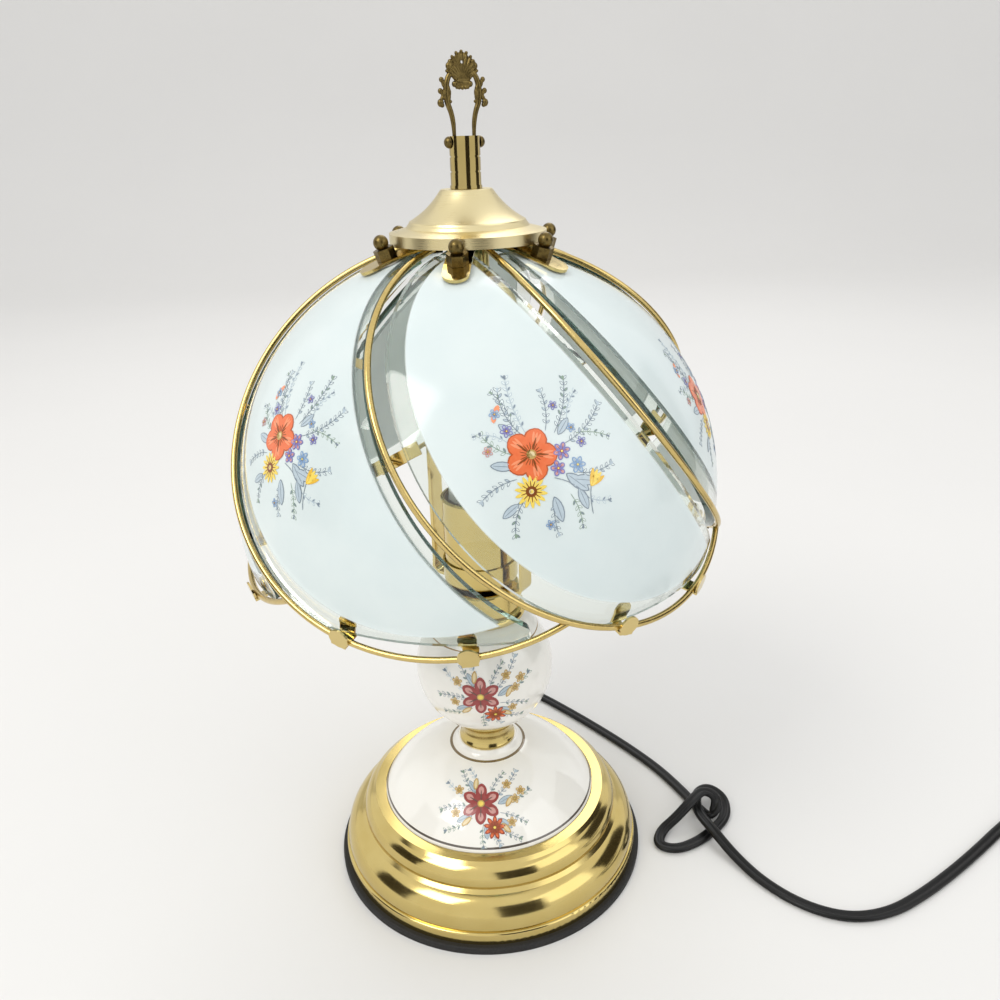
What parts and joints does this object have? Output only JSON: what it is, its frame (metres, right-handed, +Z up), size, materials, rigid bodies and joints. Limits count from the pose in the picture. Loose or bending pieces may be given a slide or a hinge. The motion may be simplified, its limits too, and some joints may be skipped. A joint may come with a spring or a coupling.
{
  "type": "table lamp",
  "caption": "Touch-switched table lamp: spun brass base, porcelain dome and ball, and a swirling dome shade of curved glass petals edged in brass rod, with a pivoting finial handle and a cord.",
  "frame": {"origin": "centre of the rubber pad's underside, on the lamp's axis at table level", "axes": "+Z up the rod to the finial, -Y to the front where the open end of the cord's knot and the printed flowers face, +X to the side that the cord runs off to"},
  "size_m": [0.453, 0.2373, 0.3651],
  "materials": {
    "polished_brass": "polished and lacquered",
    "antique_brass": "darkened antique",
    "shade_glass": "frosted print with a clear border",
    "porcelain": "glossy glaze",
    "black_rubber": "matt",
    "cast_weight": "rough",
    "plated_steel": "zinc plated",
    "black_plastic": "matt",
    "cord_vinyl": "satin",
    "grey_rubber": "matt",
    "fibre_liner": "plain",
    "white_holder": "matt",
    "shell_metal": "bright",
    "bulb_glass": "frosted"
  },
  "bodies": {
    "stand": {"base_shell": "polished_brass", "neck_ring": "polished_brass", "ball_cup": "polished_brass", "harp": "polished_brass", "harp_stud": "polished_brass", "seat_collar": "polished_brass", "socket_cap": "polished_brass", "socket_shell": "polished_brass", "plug_blades": "polished_brass", "base_pad": "black_rubber", "bottom_plate": "plated_steel", "base_weight": "cast_weight", "touch_module": "black_plastic", "porcelain_dome": "porcelain", "porcelain_ball": "porcelain", "centre_rod": "plated_steel", "rod_nut": "plated_steel", "rod_washer": "plated_steel", "cord_bushing": "black_rubber", "cord_inner": "cord_vinyl", "cord": "cord_vinyl", "cord_coil": "cord_vinyl", "plug_body": "black_plastic", "socket_lead": "cord_vinyl", "socket_liner": "fibre_liner", "socket_core": "white_holder", "screw_shell": "shell_metal"},
    "shade": {"shade_hub": "polished_brass", "shade_cap": "polished_brass", "glass_rests": "polished_brass", "glass_clips": "polished_brass", "petal_screws": "polished_brass", "petal_grommets": "grey_rubber", "ball_nuts": "antique_brass", "petal_1": "shade_glass", "petal_2": "shade_glass", "petal_3": "shade_glass", "petal_4": "shade_glass", "petal_5": "shade_glass", "petal_6": "shade_glass", "rib_1": "polished_brass", "rib_2": "polished_brass", "rib_3": "polished_brass", "rib_4": "polished_brass", "rib_5": "polished_brass", "rib_6": "polished_brass", "strap_1": "polished_brass", "strap_2": "polished_brass", "strap_3": "polished_brass", "strap_4": "polished_brass", "strap_5": "polished_brass", "strap_6": "polished_brass"},
    "finial": {"finial_neck": "antique_brass", "handle_pins": "antique_brass"},
    "handle": {"finial_handle": "antique_brass"},
    "bulb": {"bulb_glass": "bulb_glass", "bulb_base": "shell_metal"}
  },
  "joints": [
    {"name": "shade_turn", "type": "hinge", "parent": "stand", "child": "shade", "pos_m": [0, 0, 0.298], "axis": [0, 0, 1], "continuous": true},
    {"name": "finial_turn", "type": "hinge", "parent": "stand", "child": "finial", "pos_m": [0, 0, 0.3171], "axis": [0, 0, 1], "continuous": true},
    {"name": "handle_rock", "type": "hinge", "parent": "finial", "child": "handle", "pos_m": [0, 0, 0.3336], "axis": [0.9397, 0.342, 0], "range_deg": [-18, 18]},
    {"name": "bulb_turn", "type": "hinge", "parent": "stand", "child": "bulb", "pos_m": [0, 0, 0.1893], "axis": [0, 0, 1], "continuous": true}
  ]
}
